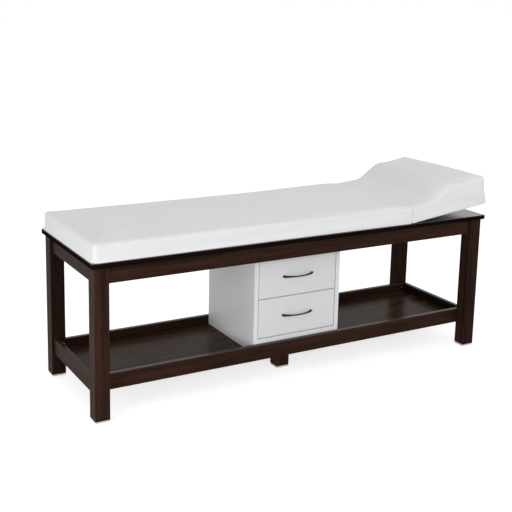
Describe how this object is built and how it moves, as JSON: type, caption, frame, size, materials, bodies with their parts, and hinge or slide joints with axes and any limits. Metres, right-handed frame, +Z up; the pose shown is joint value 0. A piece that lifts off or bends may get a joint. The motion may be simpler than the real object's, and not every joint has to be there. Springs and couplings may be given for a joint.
{
  "type": "spa bed",
  "caption": "Wooden treatment bed with a white cushion, a hinged head section with a raised pillow, an open under-shelf and a white drawer cabinet under the middle.",
  "frame": {"origin": "on the floor, under the middle of the whole length and width", "axes": "+Z up, +X towards the head end, -Y towards the side that the drawers open on"},
  "size_m": [1.9207, 0.596, 0.8169],
  "materials": {
    "espresso_wood": "satin",
    "shelf_wood": "satin",
    "white_laminate": "satin",
    "white_cover": "satin",
    "plywood": "matte",
    "dark_chrome": "polished",
    "zinc_steel": "satin",
    "glide_plastic": "matte"
  },
  "bodies": {
    "frame": {"apron_foot_end": "espresso_wood", "apron_front": "espresso_wood", "apron_head_end": "espresso_wood", "apron_rear": "espresso_wood", "cabinet_back": "white_laminate", "cabinet_bottom": "white_laminate", "cabinet_plinth": "white_laminate", "cabinet_screws": "zinc_steel", "cabinet_side_foot": "white_laminate", "cabinet_side_head": "white_laminate", "cabinet_top": "white_laminate", "centre_foot_front": "espresso_wood", "centre_foot_rear": "espresso_wood", "corner_bolts": "zinc_steel", "corner_braces": "zinc_steel", "cross_bearers": "espresso_wood", "glides": "glide_plastic", "hinge_leaves_fixed": "zinc_steel", "hinge_pins": "zinc_steel", "leg_front_foot": "espresso_wood", "leg_front_head": "espresso_wood", "leg_rear_foot": "espresso_wood", "leg_rear_head": "espresso_wood", "lower_slide_outers": "zinc_steel", "main_base": "plywood", "main_cushion": "white_cover", "stay_tracks": "zinc_steel", "top_board": "espresso_wood", "tray_board": "shelf_wood", "tray_rail_foot_end": "espresso_wood", "tray_rail_front": "espresso_wood", "tray_rail_head_end": "espresso_wood", "tray_rail_rear": "espresso_wood", "tray_screws": "zinc_steel", "upper_slide_outers": "zinc_steel"},
    "head_section": {"head_base": "plywood", "head_cushion": "white_cover", "head_cushion_fold": "white_cover", "hinge_leaves_moving": "zinc_steel", "stay_brackets": "zinc_steel"},
    "stay_arms": {"stay_arms": "zinc_steel"},
    "stay_shoes": {"stay_shoes": "zinc_steel"},
    "upper_drawer": {"upper_drawer_back": "white_laminate", "upper_drawer_bottom": "white_laminate", "upper_drawer_face": "white_laminate", "upper_drawer_side_foot": "white_laminate", "upper_drawer_side_head": "white_laminate", "upper_handle": "dark_chrome", "upper_handle_screws": "zinc_steel", "upper_slide_inners": "zinc_steel"},
    "upper_cages": {"upper_ball_cages": "zinc_steel"},
    "lower_drawer": {"lower_drawer_back": "white_laminate", "lower_drawer_bottom": "white_laminate", "lower_drawer_face": "white_laminate", "lower_drawer_side_foot": "white_laminate", "lower_drawer_side_head": "white_laminate", "lower_handle": "dark_chrome", "lower_handle_screws": "zinc_steel", "lower_slide_inners": "zinc_steel"},
    "lower_cages": {"lower_ball_cages": "zinc_steel"}
  },
  "joints": [
    {"name": "head_hinge", "type": "hinge", "parent": "frame", "child": "head_section", "pos_m": [0.515, 0, 0.6333], "axis": [0, -1, 0], "range_deg": [-7, 38], "deforming": ["head_cushion_fold"]},
    {"name": "stay_arm_hinge", "type": "hinge", "parent": "head_section", "child": "stay_arms", "pos_m": [0.69862, 0, 0.65585], "axis": [0, -1, 0], "range_deg": [-76, 14]},
    {"name": "stay_shoe_hinge", "type": "hinge", "parent": "stay_arms", "child": "stay_shoes", "pos_m": [0.88224, 0, 0.6333], "axis": [0, -1, 0], "range_deg": [-7, 38]},
    {"name": "upper_drawer_slide", "type": "slide", "parent": "frame", "child": "upper_drawer", "axis": [0, -1, 0], "range_m": [0, 0.26]},
    {"name": "upper_cages_slide", "type": "slide", "parent": "frame", "child": "upper_cages", "axis": [0, -1, 0], "range_m": [0, 0.13]},
    {"name": "lower_drawer_slide", "type": "slide", "parent": "frame", "child": "lower_drawer", "axis": [0, -1, 0], "range_m": [0, 0.26]},
    {"name": "lower_cages_slide", "type": "slide", "parent": "frame", "child": "lower_cages", "axis": [0, -1, 0], "range_m": [0, 0.13]}
  ],
  "couplings": [
    {"joint": "stay_arm_hinge", "follows": "head_hinge", "ratio": -2},
    {"joint": "stay_shoe_hinge", "follows": "head_hinge", "ratio": 1},
    {"joint": "upper_cages_slide", "follows": "upper_drawer_slide", "ratio": 0.5},
    {"joint": "lower_cages_slide", "follows": "lower_drawer_slide", "ratio": 0.5}
  ]
}
